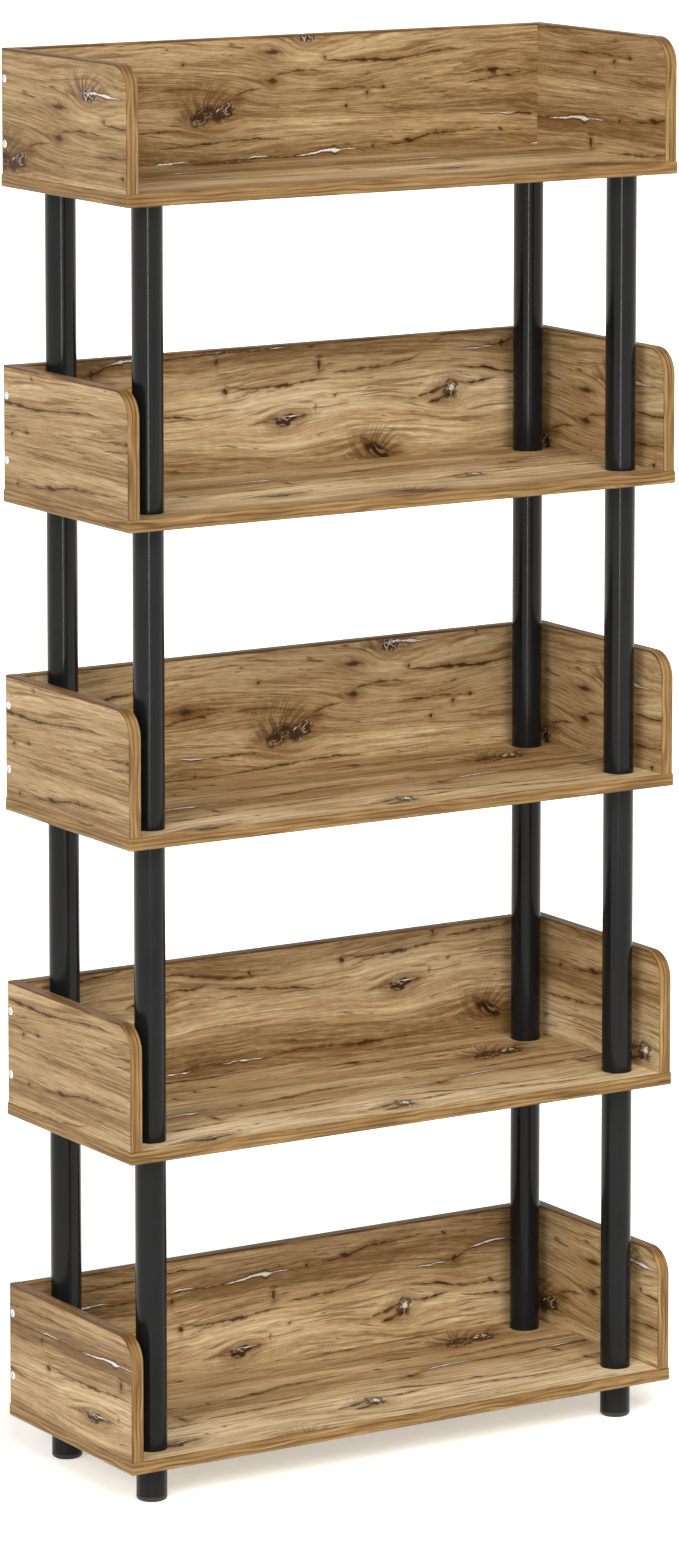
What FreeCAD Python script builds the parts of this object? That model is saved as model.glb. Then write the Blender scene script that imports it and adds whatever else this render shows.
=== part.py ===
import FreeCAD, Part
import math
import os

import Sketcher
from FreeCAD import Placement, Rotation, Vector

# Display rack: five laminated board trays, each with a low back and two sides, carried on four
# columns of tubes that screw together through the boards.
#
# Millimetres. The origin is on the floor under the middle of the rack. X runs along the trays,
# Y from their front edge to their back, and Z is up.

TIER_COUNT = 5
TUBE_LEVEL_COUNT = TIER_COUNT - 1

# Driving sizes, which go into the sheet under these names

SIZES = {
    # Boards and the galleries round them
    "board_width": 600.0,
    "board_depth": 233.5,
    "board_thickness": 12.0,
    "panel_thickness": 12.0,
    "panel_rise": 116.5,
    "panel_corner_radius": 25.0,
    "panel_setback": 0.8,
    "band_thickness": 2.0,
    "band_edge_radius": 1.5,
    # Tubes and where their axes stand, from the edges of the board
    "tube_diameter": 29.0,
    "tube_wall": 1.2,
    "tube_length": 280.0,
    "tube_side_inset": 40.5,
    "tube_front_inset": 34.5,
    "tube_back_inset": 40.0,
    # Feet
    "foot_tube_length": 31.5,
    "glide_rim_height": 5.0,
    "glide_edge_radius": 3.5,
    "glide_plug_length": 8.0,
    # Screw joints between the tubes
    "stud_diameter": 19.0,
    "stud_engagement": 14.0,
    "stud_chamfer": 1.5,
    "stud_plug_length": 24.0,
    "socket_length": 20.0,
    "top_flange_thickness": 3.0,
    "top_stud_bore": 10.0,
    # Wood screws, with raised countersunk heads
    "screw_diameter": 4.0,
    "screw_head_diameter": 7.5,
    "screw_head_height": 2.0,
    "screw_dome_height": 0.5,
    "screw_tip_length": 4.0,
    "screw_length": 40.0,
    "short_screw_length": 11.0,
    "recess_width": 1.1,
    "recess_span": 4.4,
    "recess_depth": 1.3,
    # Places of the screws
    "side_screw_margin": 28.0,
    "front_screw_margin": 45.0,
    "rear_screw_margin": 62.0,
    # Clearances
    "fit_clearance": 0.15,
    "end_clearance": 0.8,
}

# The outer screws of a back stand this share of the board's width either side of the middle
BACK_SCREW_SHARE = 0.32

# Points nearer than this count as one place when edges are picked out
SAME_PLACE = 0.001

# Sizes and heights that follow from the sheet, as expressions

HALF_WIDTH = "(sizes.board_width / 2)"
HALF_DEPTH = "(sizes.board_depth / 2)"
PANEL_DEPTH = "(sizes.board_depth - 2 * sizes.panel_setback)"
BACK_SPAN = "(sizes.board_width - 2 * (sizes.panel_setback + sizes.panel_thickness))"
PANEL_MIDDLE_X = f"({HALF_WIDTH} - sizes.panel_setback - sizes.panel_thickness / 2)"
BACK_MIDDLE_Y = f"({HALF_DEPTH} - sizes.panel_setback - sizes.panel_thickness / 2)"
TUBE_RADIUS = "(sizes.tube_diameter / 2)"
TUBE_BORE_RADIUS = "(sizes.tube_diameter / 2 - sizes.tube_wall)"
PLUG_RADIUS = f"({TUBE_BORE_RADIUS} - sizes.fit_clearance)"
STUD_RADIUS = "(sizes.stud_diameter / 2)"
STUD_HOLE_RADIUS = f"({STUD_RADIUS} + sizes.fit_clearance)"
STUD_REACH = "(sizes.board_thickness + sizes.stud_engagement)"
FOOT_HEIGHT = "(sizes.glide_rim_height + sizes.foot_tube_length)"
TIER_PITCH = "(sizes.board_thickness + sizes.tube_length)"

SIDES = {"left": -1, "right": 1}
COLUMNS = {
    f"{depth_name}_{side_name}": (side, depth_name)
    for depth_name in ("front", "rear")
    for side_name, side in SIDES.items()
}

document = FreeCAD.newDocument("display_rack")
sheet = document.addObject("Spreadsheet::Sheet", "sizes")
nodes = {}


def fill_sheet():
    """Write the driving sizes into the sheet, one row each"""
    for row, (name, size) in enumerate(SIZES.items(), start=1):
        sheet.set(f"A{row}", name)
        sheet.set(f"B{row}", str(size))
        sheet.setAlias(f"B{row}", name)
    document.recompute()


def value(expression):
    """The number that an expression has with the sizes now in the sheet"""
    return float(sheet.evalExpression(expression))


def board_bottom(tier):
    """Height of a tray's underside, as an expression"""
    height = f"{FOOT_HEIGHT} + {tier - 1} * {TIER_PITCH}"
    if tier == TIER_COUNT:
        height += " + sizes.top_flange_thickness"
    return f"({height})"


def board_top(tier):
    return f"({board_bottom(tier)} + sizes.board_thickness)"


def column_place(column):
    """Expressions for where a column's axis stands"""
    side, depth_name = COLUMNS[column]
    across = f"{side} * ({HALF_WIDTH} - sizes.tube_side_inset)"
    if depth_name == "front":
        return across, f"-({HALF_DEPTH} - sizes.tube_front_inset)"
    return across, f"{HALF_DEPTH} - sizes.tube_back_inset"


def bind_place(piece, across, along, up):
    """Tie a piece's place to three expressions"""
    piece.setExpression("Placement.Base.x", across)
    piece.setExpression("Placement.Base.y", along)
    piece.setExpression("Placement.Base.z", up)


def keep_node(name, piece, solid_count=1):
    """Give a finished sub-part its name, and note how many solids it has to hold"""
    piece.Label = name
    nodes[name] = (piece, solid_count)


# Sketches

def new_body(name):
    return document.addObject("PartDesign::Body", f"{name}_body")


def new_sketch(body, name, plane_role):
    """A sketch on one of its own body's origin planes"""
    sketch = body.newObject("Sketcher::SketchObject", name)
    plane = next(part for part in body.Origin.OriginFeatures if part.Role == plane_role)
    sketch.AttachmentSupport = [(plane, "")]
    sketch.MapMode = "FlatFace"
    return sketch


def pin(sketch, item, end, across, up):
    """Hold one end or centre of a sketch item at a place given by two expressions"""
    for kind, text, axis in (("DistanceX", across, -2), ("DistanceY", up, -1)):
        if text == "0":
            sketch.addConstraint(Sketcher.Constraint("PointOnObject", item, end, axis))
        else:
            constraint = Sketcher.Constraint(kind, -1, 1, item, end, value(text))
            index = sketch.addConstraint(constraint)
            sketch.setExpression(f"Constraints[{index}]", text)


def arc_through(start, end, radius):
    """The shorter arc that turns anticlockwise from one point to another"""
    chord = end - start
    left = Vector(-chord.y, chord.x, 0).normalize()
    height = math.sqrt(max(radius ** 2 - (chord.Length / 2) ** 2, 0))
    centre = start + chord / 2 + left * height
    angles = [math.atan2(point.y - centre.y, point.x - centre.x) for point in (start, end)]
    return Part.ArcOfCircle(Part.Circle(centre, Vector(0, 0, 1), radius), *angles)


def draw_outline(sketch, corners, arc_radii=None):
    """A closed anticlockwise outline through corners given as pairs of expressions

    arc_radii gives the radius of each side that is an arc, by the number of the corner where
    that side starts. The other sides are straight.
    """
    arc_radii = arc_radii or {}
    places = [Vector(value(across), value(up), 0) for across, up in corners]
    for number, start in enumerate(places):
        end = places[(number + 1) % len(places)]
        if number in arc_radii:
            side = arc_through(start, end, value(arc_radii[number]))
        else:
            side = Part.LineSegment(start, end)
        sketch.addGeometry(side, False)
    for number, (across, up) in enumerate(corners):
        following = (number + 1) % len(corners)
        sketch.addConstraint(Sketcher.Constraint("Coincident", number, 2, following, 1))
        pin(sketch, number, 1, across, up)
    for number, radius in arc_radii.items():
        index = sketch.addConstraint(Sketcher.Constraint("Radius", number, value(radius)))
        sketch.setExpression(f"Constraints[{index}]", radius)


def draw_circle(sketch, across, up, radius):
    place = Vector(value(across), value(up), 0)
    circle = Part.Circle(place, Vector(0, 0, 1), value(radius))
    item = sketch.addGeometry(circle, False)
    pin(sketch, item, 3, across, up)
    index = sketch.addConstraint(Sketcher.Constraint("Radius", item, value(radius)))
    sketch.setExpression(f"Constraints[{index}]", radius)


def pad(body, sketch, length):
    feature = body.newObject("PartDesign::Pad", f"{sketch.Name}_pad")
    feature.Profile = sketch
    feature.setExpression("Length", length)
    return feature


def pocket(body, sketch, depth):
    """Cut away from the sketch's plane into the solid that was padded from the same plane"""
    feature = body.newObject("PartDesign::Pocket", f"{sketch.Name}_pocket")
    feature.Profile = sketch
    feature.setExpression("Length", depth)
    feature.Reversed = True
    return feature


def round_edges(body, base, radius, wanted=None):
    """Round all the edges of a feature, or those whose bounding boxes pass the wanted test"""
    feature = body.newObject("PartDesign::Fillet", f"{base.Name}_rounding")
    if wanted is None:
        feature.Base = (base, [])
        feature.UseAllEdges = True
    else:
        document.recompute()
        edges = enumerate(base.Shape.Edges, start=1)
        feature.Base = (base, [f"Edge{number}" for number, edge in edges if wanted(edge.BoundBox)])
    feature.setExpression("Radius", radius)
    return feature


def revolved_body(name, corners, arc_radii=None):
    """A body turned about Z from a half section, which is drawn as radius and height"""
    body = new_body(name)
    sketch = new_sketch(body, f"{name}_section", "XZ_Plane")
    draw_outline(sketch, corners, arc_radii)
    turned = body.newObject("PartDesign::Revolution", f"{name}_revolution")
    turned.Profile = sketch
    turned.ReferenceAxis = (sketch, ["V_Axis"])
    return body


def linked_group(name, master, places):
    """Copies of one master piece, each at a place with a turn about Y in degrees"""
    links = []
    for number, (across, along, up, turn) in enumerate(places, start=1):
        link = document.addObject("App::Link", f"{name}_{number}")
        link.LinkedObject = master
        link.Placement = Placement(Vector(), Rotation(Vector(0, 1, 0), turn))
        bind_place(link, across, along, up)
        links.append(link)
    group = document.addObject("Part::Compound", f"{name}_group")
    group.Links = links
    return group


def cut_by(name, base, tool):
    cut = document.addObject("Part::Cut", name)
    cut.Base = base
    cut.Tool = tool
    return cut


# Screws and the holes that take them

def add_screw(name, length):
    """A wood screw that points up, with the rim of its head at the origin's height

    Its section is drawn from the top of the head's dome, so the piece is lowered by the dome.
    """
    head_radius = "(sizes.screw_head_diameter / 2)"
    shank_radius = "(sizes.screw_diameter / 2)"
    dome = "sizes.screw_dome_height"
    corners = [
        ("0", "0"),
        (head_radius, dome),
        (shank_radius, f"{dome} + sizes.screw_head_height"),
        (shank_radius, f"{dome} + {length} - sizes.screw_tip_length"),
        ("0", f"{dome} + {length}"),
    ]
    dome_radius = f"(({head_radius} ^ 2 + {dome} ^ 2) / (2 * {dome}))"
    body = revolved_body(name, corners, {0: dome_radius})
    recess = new_sketch(body, f"{name}_recess", "XY_Plane")
    draw_cross(recess)
    pocket(body, recess, "sizes.recess_depth")
    lowered = document.addObject("Part::Compound", name)
    lowered.Links = [body]
    bind_place(body, "0", "0", f"-{dome}")
    return lowered


def draw_cross(sketch):
    """The outline of a cross recess, round the origin"""
    arm = "(sizes.recess_span / 2)"
    half = "(sizes.recess_width / 2)"
    quarter = [(arm, half), (half, half), (half, arm)]
    corners = list(quarter)
    corners += [(f"-{across}", up) for across, up in reversed(quarter)]
    corners += [(f"-{across}", f"-{up}") for across, up in quarter]
    corners += [(across, f"-{up}") for across, up in reversed(quarter)]
    draw_outline(sketch, corners)


def add_screw_hole(name, length):
    """The space that a screw needs, with clearance round it and past its tip"""
    head_radius = "(sizes.screw_head_diameter / 2 + sizes.fit_clearance)"
    shank_radius = "(sizes.screw_diameter / 2 + sizes.fit_clearance)"
    corners = [
        ("0", "0"),
        (head_radius, "0"),
        (head_radius, "sizes.fit_clearance"),
        (shank_radius, "sizes.screw_head_height + sizes.fit_clearance"),
        (shank_radius, f"{length} + sizes.end_clearance"),
        ("0", f"{length} + sizes.end_clearance"),
    ]
    return revolved_body(name, corners)


def tray_screw_places(tier):
    """Where a tray's screws go: up into its sides and back, and through its sides into its back"""
    places = []
    for side in SIDES.values():
        across = f"{side} * {PANEL_MIDDLE_X}"
        places.append((across, f"-({HALF_DEPTH} - sizes.front_screw_margin)", board_bottom(tier), 0))
        places.append((across, f"{HALF_DEPTH} - sizes.rear_screw_margin", board_bottom(tier), 0))
    for share in (-BACK_SCREW_SHARE, 0, BACK_SCREW_SHARE):
        places.append((f"{share} * sizes.board_width", BACK_MIDDLE_Y, board_bottom(tier), 0))
    low = f"{board_top(tier)} + sizes.side_screw_margin"
    high = f"{board_top(tier)} + sizes.panel_rise - sizes.side_screw_margin"
    for side in SIDES.values():
        across = f"{side} * ({HALF_WIDTH} - sizes.panel_setback)"
        for up in (low, high):
            places.append((across, BACK_MIDDLE_Y, up, -90 * side))
    return places


def column_places(up):
    """A place on each column's axis at one height"""
    return [(*column_place(column), up, 0) for column in COLUMNS]


# Trays

def draw_board(sketch, skin):
    """A board seen from above, less a skin round its edge"""
    right = f"(sizes.board_width - {skin})"
    rear = f"(sizes.board_depth - {skin})"
    draw_outline(sketch, [(skin, skin), (right, skin), (right, rear), (skin, rear)])


def add_board(tier, screw_holes, top_screw_holes):
    """A shelf board, cored for its edge bands, with a hole for each stud that passes through"""
    name = f"tray_{tier}_shelf_board"
    body = new_body(name)
    outline = new_sketch(body, f"{name}_outline", "XY_Plane")
    draw_board(outline, "sizes.band_thickness")
    pad(body, outline, "sizes.board_thickness")
    if tier < TIER_COUNT:
        holes = new_sketch(body, f"{name}_stud_holes", "XY_Plane")
        for side, depth_name in COLUMNS.values():
            across = "sizes.tube_side_inset" if side < 0 else "sizes.board_width - sizes.tube_side_inset"
            along = "sizes.tube_front_inset"
            if depth_name == "rear":
                along = "sizes.board_depth - sizes.tube_back_inset"
            draw_circle(holes, across, along, STUD_HOLE_RADIUS)
        pocket(body, holes, "sizes.board_thickness")
    bind_place(body, f"-{HALF_WIDTH}", f"-{HALF_DEPTH}", board_bottom(tier))
    board = cut_by(name, body, screw_holes)
    if tier == TIER_COUNT:
        board = cut_by(f"{name}_with_stud_screws", board, top_screw_holes)
    keep_node(name, board)


def draw_panel_side(sketch, skin):
    """A side panel seen from the side, less a skin on its front, top and rear edges"""
    radius = "sizes.panel_corner_radius"
    rear = f"({PANEL_DEPTH} - {skin})"
    top = f"(sizes.panel_rise - {skin})"
    corners = [
        (skin, "0"),
        (rear, "0"),
        (rear, top),
        (radius, top),
        (skin, f"sizes.panel_rise - {radius}"),
    ]
    draw_outline(sketch, corners, {3: f"({radius} - {skin})"})


def panel_place(tier, side):
    """The corner from which a side panel is drawn"""
    if side < 0:
        across = f"-({HALF_WIDTH} - sizes.panel_setback)"
    else:
        across = f"{HALF_WIDTH} - sizes.panel_setback - sizes.panel_thickness"
    return across, f"-({HALF_DEPTH} - sizes.panel_setback)", board_top(tier)


def add_side_panel(tier, side_name, screw_holes):
    name = f"tray_{tier}_{side_name}_panel"
    body = new_body(name)
    outline = new_sketch(body, f"{name}_outline", "YZ_Plane")
    draw_panel_side(outline, "sizes.band_thickness")
    pad(body, outline, "sizes.panel_thickness")
    bind_place(body, *panel_place(tier, SIDES[side_name]))
    keep_node(name, cut_by(name, body, screw_holes))


def add_back_panel(tier, screw_holes):
    """The back, which stands on the board between the two sides"""
    name = f"tray_{tier}_back_panel"
    blank = document.addObject("Part::Box", f"{name}_blank")
    blank.setExpression("Length", BACK_SPAN)
    blank.setExpression("Width", "sizes.panel_thickness")
    blank.setExpression("Height", "sizes.panel_rise - sizes.band_thickness")
    rear = f"{BACK_MIDDLE_Y} - sizes.panel_thickness / 2"
    bind_place(blank, f"-{BACK_SPAN} / 2", rear, board_top(tier))
    keep_node(name, cut_by(name, blank, screw_holes))


def add_board_band(tier):
    """The band that runs all round a board, with its outer edges rounded over"""
    name = f"tray_{tier}_board_band"
    body = new_body(name)
    outside = new_sketch(body, f"{name}_outside", "XY_Plane")
    draw_board(outside, "0")
    round_edges(body, pad(body, outside, "sizes.board_thickness"), "sizes.band_edge_radius")
    inside = new_sketch(body, f"{name}_inside", "XY_Plane")
    draw_board(inside, "sizes.band_thickness")
    pocket(body, inside, "sizes.board_thickness")
    bind_place(body, f"-{HALF_WIDTH}", f"-{HALF_DEPTH}", board_bottom(tier))
    return body


def add_back_band(tier):
    """The band on top of a back panel, between the sides, with its two long edges rounded over"""
    name = f"tray_{tier}_back_band"
    body = new_body(name)
    section = new_sketch(body, f"{name}_section", "YZ_Plane")
    depth = "sizes.panel_thickness"
    height = "sizes.band_thickness"
    radius = "sizes.band_edge_radius"
    corners = [
        ("0", "0"),
        (depth, "0"),
        (depth, f"{height} - {radius}"),
        (f"{depth} - {radius}", height),
        (radius, height),
        ("0", f"{height} - {radius}"),
    ]
    draw_outline(section, corners, {2: radius, 4: radius})
    pad(body, section, BACK_SPAN)
    bottom = f"{board_top(tier)} + sizes.panel_rise - sizes.band_thickness"
    bind_place(body, f"-{BACK_SPAN} / 2", f"{BACK_MIDDLE_Y} - {depth} / 2", bottom)
    return body


def is_panel_rim(box):
    """Whether an edge of a side panel is one of those round its two faces, but not at its foot"""
    return box.XLength < SAME_PLACE < box.ZMax


def add_panel_band(tier, side_name):
    """The band up a side panel's front edge, round its corner, along its top and down its rear"""
    name = f"tray_{tier}_{side_name}_panel_band"
    body = new_body(name)
    outside = new_sketch(body, f"{name}_outside", "YZ_Plane")
    draw_panel_side(outside, "0")
    blank = pad(body, outside, "sizes.panel_thickness")
    round_edges(body, blank, "sizes.band_edge_radius", is_panel_rim)
    inside = new_sketch(body, f"{name}_inside", "YZ_Plane")
    draw_panel_side(inside, "sizes.band_thickness")
    pocket(body, inside, "sizes.panel_thickness")
    bind_place(body, *panel_place(tier, SIDES[side_name]))
    return body


def add_edge_bands(tier):
    """All the edge bands of one tray: round its board, on both sides and on top of its back"""
    name = f"tray_{tier}_edge_bands"
    pieces = [add_board_band(tier), add_back_band(tier)]
    pieces += [add_panel_band(tier, side_name) for side_name in SIDES]
    group = document.addObject("Part::Compound", name)
    group.Links = pieces
    keep_node(name, group, len(pieces))


def add_trays():
    screw = add_screw("long_screw", "sizes.screw_length")
    hole = add_screw_hole("long_screw_hole", "sizes.screw_length")
    short_hole = add_screw_hole("short_screw_hole", "sizes.short_screw_length")
    stud_web_bottom = f"({board_bottom(TIER_COUNT)} - sizes.top_flange_thickness)"
    top_holes = linked_group("top_stud_screw_hole", short_hole, column_places(stud_web_bottom))
    for tier in range(1, TIER_COUNT + 1):
        places = tray_screw_places(tier)
        holes = linked_group(f"tray_{tier}_screw_hole", hole, places)
        add_board(tier, holes, top_holes)
        for side_name in SIDES:
            add_side_panel(tier, side_name, holes)
        add_back_panel(tier, holes)
        add_edge_bands(tier)
        keep_node(f"tray_{tier}_screws", linked_group(f"tray_{tier}_screw", screw, places), len(places))
    add_top_studs(top_holes, stud_web_bottom)


# Columns

def add_tube(name, column, length, bottom):
    outside = document.addObject("Part::Cylinder", f"{name}_outside")
    outside.setExpression("Radius", TUBE_RADIUS)
    bore = document.addObject("Part::Cylinder", f"{name}_bore")
    bore.setExpression("Radius", TUBE_BORE_RADIUS)
    for cylinder in (outside, bore):
        cylinder.setExpression("Height", length)
        bind_place(cylinder, *column_place(column), bottom)
    keep_node(name, cut_by(name, outside, bore))


def add_tubes():
    for level in range(1, TUBE_LEVEL_COUNT + 1):
        for column in COLUMNS:
            add_tube(f"tube_{level}_{column}", column, "sizes.tube_length", board_top(level))


def add_studs():
    """Threaded plugs in the tubes' lower ends, which pass through the boards"""
    plug_top = f"{STUD_REACH} + sizes.stud_plug_length"
    corners = [
        ("0", "0"),
        (f"{STUD_RADIUS} - sizes.stud_chamfer", "0"),
        (STUD_RADIUS, "sizes.stud_chamfer"),
        (STUD_RADIUS, STUD_REACH),
        (PLUG_RADIUS, STUD_REACH),
        (PLUG_RADIUS, plug_top),
        ("0", plug_top),
    ]
    stud = revolved_body("tube_stud", corners)
    places = []
    for level in range(1, TUBE_LEVEL_COUNT + 1):
        places += column_places(f"{board_top(level)} - {STUD_REACH}")
    keep_node("tube_studs", linked_group("tube_stud_copy", stud, places), len(places))


def add_sockets():
    """Threaded sockets in the upper ends of the tubes and foot tubes"""
    floor = "(sizes.socket_length - sizes.stud_engagement - sizes.end_clearance)"
    corners = [
        ("0", "0"),
        (PLUG_RADIUS, "0"),
        (PLUG_RADIUS, "sizes.socket_length"),
        (STUD_HOLE_RADIUS, "sizes.socket_length"),
        (STUD_HOLE_RADIUS, floor),
        ("0", floor),
    ]
    socket = revolved_body("tube_socket", corners)
    places = []
    for tier in range(1, TIER_COUNT + 1):
        tube_top = f"{FOOT_HEIGHT} + {tier - 1} * {TIER_PITCH}"
        places += column_places(f"{tube_top} - sizes.socket_length")
    keep_node("tube_sockets", linked_group("tube_socket_copy", socket, places), len(places))


def add_top_studs(screw_holes, web_bottom):
    """Flanged studs screwed up into the top board, which has no holes right through it"""
    engagement = "sizes.stud_engagement"
    flange_top = f"{engagement} + sizes.top_flange_thickness"
    bore_radius = "(sizes.top_stud_bore / 2)"
    corners = [
        (bore_radius, "0"),
        (f"{STUD_RADIUS} - sizes.stud_chamfer", "0"),
        (STUD_RADIUS, "sizes.stud_chamfer"),
        (STUD_RADIUS, engagement),
        (TUBE_RADIUS, engagement),
        (TUBE_RADIUS, flange_top),
        ("0", flange_top),
        ("0", engagement),
        (bore_radius, engagement),
    ]
    stud = revolved_body("top_stud", corners)
    blanks = linked_group("top_stud_blank", stud, column_places(f"{web_bottom} - {engagement}"))
    keep_node("top_studs", cut_by("top_studs", blanks, screw_holes), len(COLUMNS))
    screw = add_screw("short_screw", "sizes.short_screw_length")
    screws = linked_group("top_stud_screw", screw, column_places(web_bottom))
    keep_node("top_stud_screws", screws, len(COLUMNS))


def add_glide(name, column):
    """A foot glide: a rim with a rounded lower edge, and a plug up into the foot tube"""
    rim = "sizes.glide_rim_height"
    edge = "sizes.glide_edge_radius"
    corners = [
        ("0", "0"),
        (f"{TUBE_RADIUS} - {edge}", "0"),
        (TUBE_RADIUS, edge),
        (TUBE_RADIUS, rim),
        (PLUG_RADIUS, rim),
        (PLUG_RADIUS, f"{rim} + sizes.glide_plug_length"),
        ("0", f"{rim} + sizes.glide_plug_length"),
    ]
    glide = revolved_body(name, corners, {1: edge})
    bind_place(glide, *column_place(column), "0")
    keep_node(name, glide)


def add_feet():
    for column in COLUMNS:
        add_tube(f"foot_tube_{column}", column, "sizes.foot_tube_length", "sizes.glide_rim_height")
        add_glide(f"foot_glide_{column}", column)


# Checks and files

def check_model():
    """Stop if anything failed to build, or a sub-part isn't the solids that it should be"""
    for item in document.Objects:
        if "Invalid" in item.State or "Error" in item.State:
            raise RuntimeError(f"{item.Label} failed to build: {item.State}")
        if item.TypeId in ("PartDesign::Pocket", "PartDesign::Fillet"):
            if item.Shape.Volume >= item.BaseFeature.Shape.Volume:
                raise RuntimeError(f"{item.Label} takes nothing away")
    for name, (piece, solid_count) in nodes.items():
        shape = piece.Shape
        if shape.isNull() or not shape.isValid():
            raise RuntimeError(f"{name} has no valid shape")
        if len(shape.Solids) != solid_count:
            raise RuntimeError(f"{name} has {len(shape.Solids)} solids, not {solid_count}")


def write_parts():
    os.makedirs("parts", exist_ok=True)
    for name, (piece, _) in nodes.items():
        piece.Shape.exportStep(f"parts/{name}.step")
    print(f"{len(nodes)} sub-parts written")


fill_sheet()
add_trays()
add_tubes()
add_studs()
add_sockets()
add_feet()
document.recompute()
check_model()
write_parts()
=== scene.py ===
import math

import bpy
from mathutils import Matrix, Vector


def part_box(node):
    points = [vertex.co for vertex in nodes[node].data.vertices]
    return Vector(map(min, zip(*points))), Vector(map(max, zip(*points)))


# Looks of a display rack: five trays of printed oak laminate on columns of black tubes.
# Lengths are metres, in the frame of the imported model. The print is laid out in millimetres.

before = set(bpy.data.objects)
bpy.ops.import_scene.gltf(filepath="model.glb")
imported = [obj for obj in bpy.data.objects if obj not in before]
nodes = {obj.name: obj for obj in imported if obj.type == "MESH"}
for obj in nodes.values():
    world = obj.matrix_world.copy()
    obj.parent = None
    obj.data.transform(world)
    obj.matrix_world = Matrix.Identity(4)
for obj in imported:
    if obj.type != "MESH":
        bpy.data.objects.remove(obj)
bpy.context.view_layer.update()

MM = 0.001
TIERS = range(1, 6)

# Colours as they look on a screen, 0 to 255

TONES = {
    0.00: (88, 64, 37),
    0.18: (112, 84, 51),
    0.34: (138, 109, 71),
    0.50: (163, 134, 94),
    0.66: (182, 154, 113),
    0.82: (201, 175, 133),
    1.00: (221, 199, 162),
}
STAIN_COLOUR = (110, 76, 39)
CRACK_COLOUR = (82, 54, 27)
DARK_COLOUR = (45, 28, 13)
PALE_COLOUR = (226, 220, 210)
BAND_TONES = {
    0.00: (92, 62, 30),
    0.30: (122, 91, 52),
    0.60: (148, 117, 73),
    1.00: (174, 144, 100),
}

# How a screen makes light of its colours: straight up to the low end, and a power curve above it
SCREEN_FULL = 255
SCREEN_LOW_END = 0.04045
SCREEN_LOW_SLOPE = 12.92
SCREEN_OFFSET = 0.055
SCREEN_POWER = 2.4


def linear(colour):
    """A screen colour as linear light, with alpha"""
    shares = [part / SCREEN_FULL for part in colour]
    low = [share / SCREEN_LOW_SLOPE for share in shares]
    high = [((share + SCREEN_OFFSET) / (1 + SCREEN_OFFSET)) ** SCREEN_POWER for share in shares]
    return [a if share <= SCREEN_LOW_END else b for share, a, b in zip(shares, low, high)] + [1.0]


# Materials

# Where the noises start, off the corners of their grid
NOISE_SHIFT = 0.37

# The relief of a surface, unless it gives its own: how strong it shows and how deep it is
RELIEF_SHARE = 0.2
RELIEF_DEPTH = 0.3 * MM


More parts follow.
